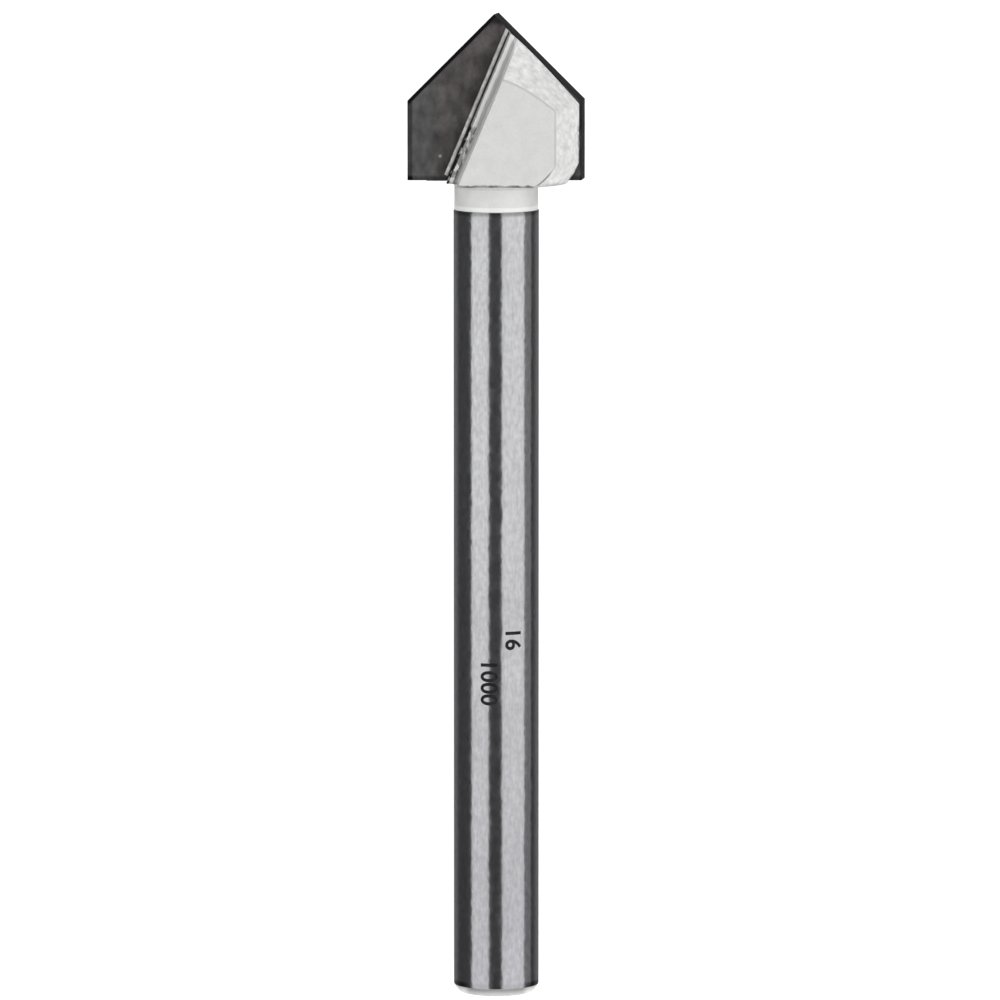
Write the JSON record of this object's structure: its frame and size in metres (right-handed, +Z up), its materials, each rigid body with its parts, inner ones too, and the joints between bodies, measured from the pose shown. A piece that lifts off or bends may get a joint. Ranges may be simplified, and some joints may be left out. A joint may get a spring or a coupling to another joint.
{
  "type": "glass and tile drill bit",
  "caption": "Spade-point drill bit for glass and tile: round steel shank, slotted head and a brazed carbide plate, lying on its side.",
  "frame": {"origin": "on the surface that the drill lies on, under the middle of its box", "axes": "+Y along the drill's length towards the point, +Z up, +X across the head. The drill's axis rises 1.37 degrees towards the point, as it does at rest"},
  "size_m": [0.016, 0.0892, 0.0114],
  "materials": {
    "shank_steel": "ground shank, satin blasted head",
    "carbide": "dark sintered carbide with ground edges",
    "braze": "silver-coloured braze alloy"
  },
  "bodies": {
    "root": {"steel_body": "shank_steel", "carbide_plate": "carbide", "braze_layer": "braze"}
  },
  "joints": []
}
